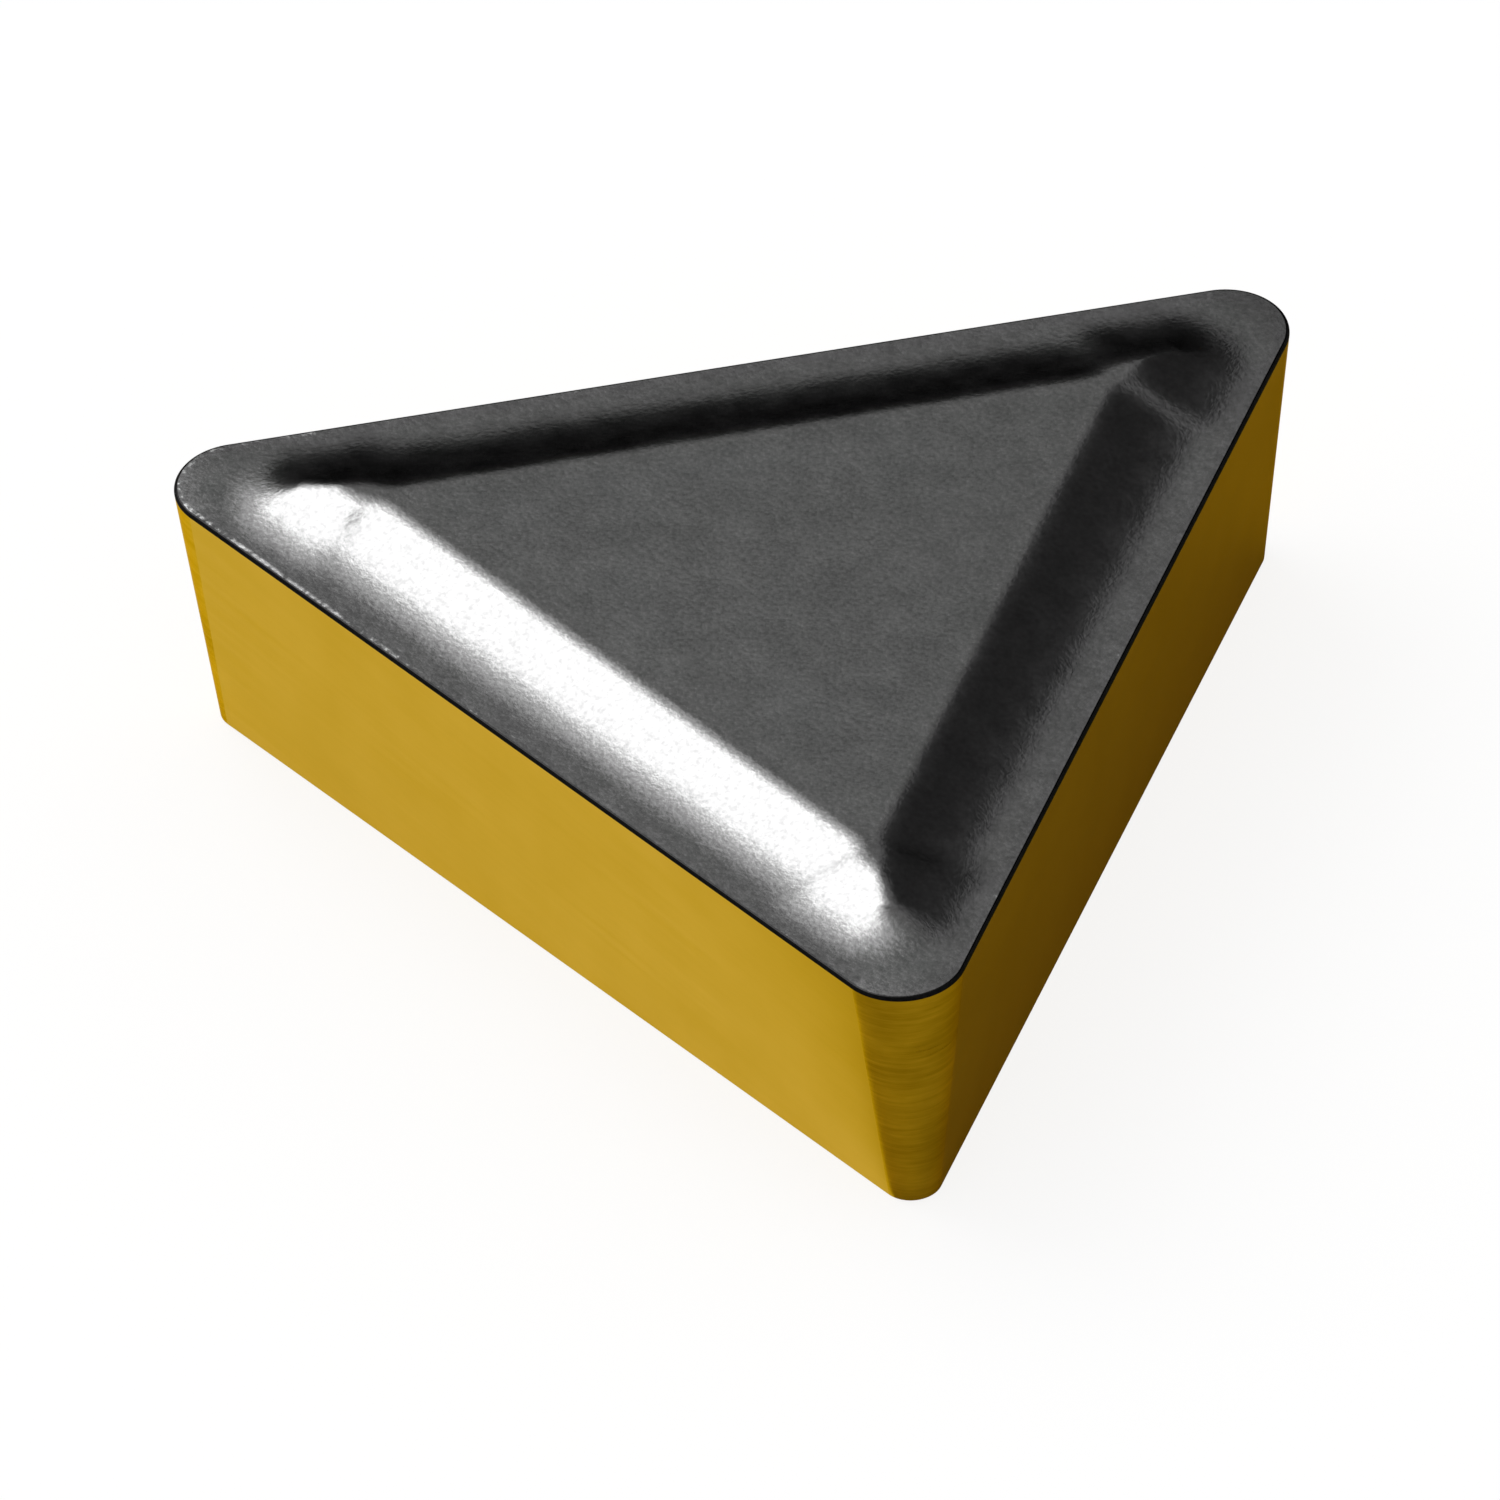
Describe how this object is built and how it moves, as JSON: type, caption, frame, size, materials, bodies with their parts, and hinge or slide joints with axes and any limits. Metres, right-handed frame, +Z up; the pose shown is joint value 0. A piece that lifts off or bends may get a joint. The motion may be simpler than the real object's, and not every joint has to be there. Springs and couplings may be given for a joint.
{
  "type": "carbide insert",
  "caption": "Triangular turning insert with rounded noses, clearance under its cutting edges, a flat seat and a pressed chip breaker round a raised plateau.",
  "frame": {"origin": "centre of the seat, the flat bottom face, on the triangle's axis", "axes": "+Z up the triangle's axis towards the chip breaker; +Y from the axis towards one of the three noses; the cutting edge opposite that nose runs along X"},
  "size_m": [0.0152, 0.0134, 0.0043],
  "materials": {
    "carbide": "ground flanks with a gold coating, and a dark grey as-pressed top"
  },
  "bodies": {
    "root": {"insert": "carbide"}
  },
  "joints": []
}
